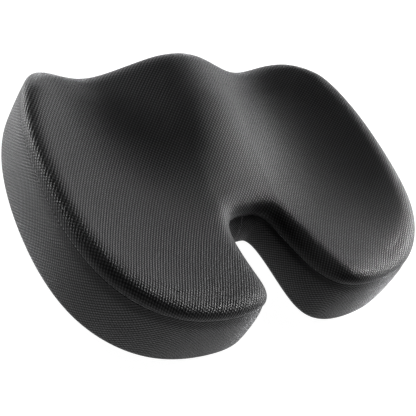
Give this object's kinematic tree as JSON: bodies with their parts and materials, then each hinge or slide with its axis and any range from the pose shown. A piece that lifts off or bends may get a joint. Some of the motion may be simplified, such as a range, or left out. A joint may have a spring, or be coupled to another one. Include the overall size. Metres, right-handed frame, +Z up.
{
  "type": "seat cushion",
  "caption": "Contoured tailbone seat cushion with a rear notch, thigh valleys, a front ridge and a zipped mesh fabric cover.",
  "frame": {"origin": "on the floor, under the middle of the cushion's box", "axes": "+X to the sitter's right across the width, +Y to the front where the ridge and the zip are, +Z up"},
  "size_m": [0.449, 0.3375, 0.08],
  "materials": {
    "foam": "soft open-cell memory foam",
    "mesh_fabric": "black 3D spacer mesh, matt with a soft sheen at grazing angles",
    "grip_fabric": "black knitted fabric with silicone grip dots",
    "zip_tape": "black woven tape",
    "zip_teeth": "black nylon coil",
    "zip_metal": "black lacquered zinc",
    "label": "blank white satin tape"
  },
  "bodies": {
    "cushion": {"foam_core": "foam", "cover_top": "mesh_fabric", "cover_side_band": "mesh_fabric", "cover_front_band": "mesh_fabric", "cover_bottom": "grip_fabric", "zip_tape_upper": "zip_tape", "zip_tape_lower": "zip_tape", "zip_teeth_upper": "zip_teeth", "zip_teeth_lower": "zip_teeth", "zip_stop_left": "zip_metal", "zip_stop_right": "zip_metal", "care_label": "label"},
    "zip_slider": {"zip_slider": "zip_metal"},
    "zip_pull": {"zip_pull": "zip_metal"}
  },
  "joints": [
    {"name": "zip_travel", "type": "slide", "parent": "cushion", "child": "zip_slider", "axis": [-1, 0, 0], "range_m": [0, 0.219]},
    {"name": "pull_swing", "type": "hinge", "parent": "zip_slider", "child": "zip_pull", "pos_m": [0.1095, 0.16734, 0.016], "axis": [0, 0, -1], "range_deg": [0, 170]}
  ]
}
